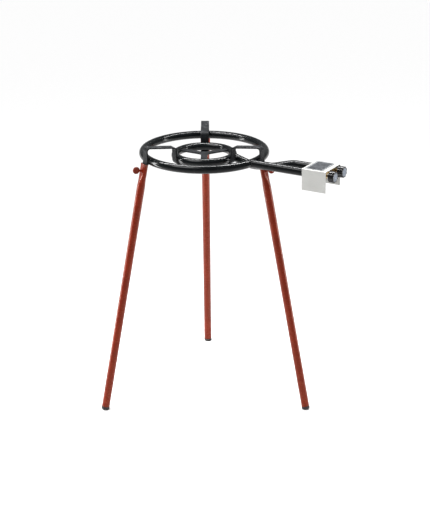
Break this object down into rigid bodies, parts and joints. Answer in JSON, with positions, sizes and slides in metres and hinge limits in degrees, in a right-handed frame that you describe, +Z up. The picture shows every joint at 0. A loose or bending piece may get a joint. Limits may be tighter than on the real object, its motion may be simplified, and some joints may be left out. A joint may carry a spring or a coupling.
{
  "type": "free-standing ring gas burner",
  "caption": "Free-standing gas burner with concentric flame rings, bent flat-bar pan supports, clamped removable tube legs and push-and-turn taps under a bent sheet cover.",
  "frame": {"origin": "on the floor, under the shared centre of the rings", "axes": "+Z up; +X from the ring centre along the mixer tubes to the taps, over leg 1; +Y to the inner ring's tap"},
  "size_m": [0.6669, 0.6524, 0.8302],
  "materials": {
    "black_enamel": "gloss enamel",
    "support_steel": "matte heat-resistant paint",
    "red_paint": "semi-gloss powder coat",
    "foot_plastic": "matte",
    "cover_steel": "brushed",
    "label_foil": "satin printed foil, blank",
    "zinc_steel": "zinc plated",
    "brass": "machined",
    "knob_plastic": "semi-gloss",
    "knob_face_plate": "satin"
  },
  "bodies": {
    "burner": {"outer_ring": "black_enamel", "inner_ring": "black_enamel", "outer_feed_tube": "black_enamel", "inner_feed_tube": "black_enamel", "cover_bracket": "black_enamel", "valve_cover": "cover_steel", "label_plate": "label_foil", "cover_rivets": "zinc_steel", "centre_spider": "support_steel", "gas_manifold": "brass", "hose_tail": "brass", "pan_support_1": "support_steel", "pan_support_2": "support_steel", "pan_support_3": "support_steel", "air_sleeve_outer": "zinc_steel", "injector_outer": "brass", "tap_body_outer": "brass", "tap_bonnet_outer": "brass", "air_sleeve_inner": "zinc_steel", "injector_inner": "brass", "tap_body_inner": "brass", "tap_bonnet_inner": "brass"},
    "leg_1": {"leg_tube_1": "red_paint", "leg_foot_1": "foot_plastic", "rivet_nut_1": "red_paint"},
    "thumb_screw_1": {"thumb_screw_1": "red_paint"},
    "leg_2": {"leg_tube_2": "red_paint", "leg_foot_2": "foot_plastic", "rivet_nut_2": "red_paint"},
    "thumb_screw_2": {"thumb_screw_2": "red_paint"},
    "leg_3": {"leg_tube_3": "red_paint", "leg_foot_3": "foot_plastic", "rivet_nut_3": "red_paint"},
    "thumb_screw_3": {"thumb_screw_3": "red_paint"},
    "tap_plug_outer": {"tap_plug_outer": "brass", "spindle_spring_outer": "zinc_steel"},
    "tap_knob_outer": {"tap_spindle_outer": "brass", "knob_outer": "knob_plastic", "knob_face_outer": "knob_face_plate"},
    "tap_plug_inner": {"tap_plug_inner": "brass", "spindle_spring_inner": "zinc_steel"},
    "tap_knob_inner": {"tap_spindle_inner": "brass", "knob_inner": "knob_plastic", "knob_face_inner": "knob_face_plate"}
  },
  "joints": [
    {"name": "leg_1_slide", "type": "slide", "parent": "burner", "child": "leg_1", "axis": [0.1987, 0, -0.9801], "range_m": [0, 0.05]},
    {"name": "thumb_screw_1_turn", "type": "hinge", "parent": "leg_1", "child": "thumb_screw_1", "pos_m": [0.20967, 0, 0.75844], "axis": [0.9801, 0, 0.1987], "continuous": true},
    {"name": "leg_2_slide", "type": "slide", "parent": "burner", "child": "leg_2", "axis": [-0.0993, 0.172, -0.9801], "range_m": [0, 0.05]},
    {"name": "thumb_screw_2_turn", "type": "hinge", "parent": "leg_2", "child": "thumb_screw_2", "pos_m": [-0.10483, 0.18158, 0.75844], "axis": [-0.49, 0.8488, 0.1987], "continuous": true},
    {"name": "leg_3_slide", "type": "slide", "parent": "burner", "child": "leg_3", "axis": [-0.0993, -0.172, -0.9801], "range_m": [0, 0.05]},
    {"name": "thumb_screw_3_turn", "type": "hinge", "parent": "leg_3", "child": "thumb_screw_3", "pos_m": [-0.10483, -0.18158, 0.75844], "axis": [-0.49, -0.8488, 0.1987], "continuous": true},
    {"name": "tap_outer_turn", "type": "hinge", "parent": "burner", "child": "tap_plug_outer", "pos_m": [0.409, -0.0355, 0.786], "axis": [1, 0, 0], "range_deg": [0, 210]},
    {"name": "tap_outer_push", "type": "slide", "parent": "tap_plug_outer", "child": "tap_knob_outer", "axis": [-1, 0, 0], "range_m": [0, 0.0035], "stiffness_N_per_m": 800, "springref_m": -0.003, "deforming": ["spindle_spring_outer"]},
    {"name": "tap_inner_turn", "type": "hinge", "parent": "burner", "child": "tap_plug_inner", "pos_m": [0.409, 0.029, 0.7838], "axis": [1, 0, 0], "range_deg": [0, 210]},
    {"name": "tap_inner_push", "type": "slide", "parent": "tap_plug_inner", "child": "tap_knob_inner", "axis": [-1, 0, 0], "range_m": [0, 0.0035], "stiffness_N_per_m": 800, "springref_m": -0.003, "deforming": ["spindle_spring_inner"]}
  ]
}
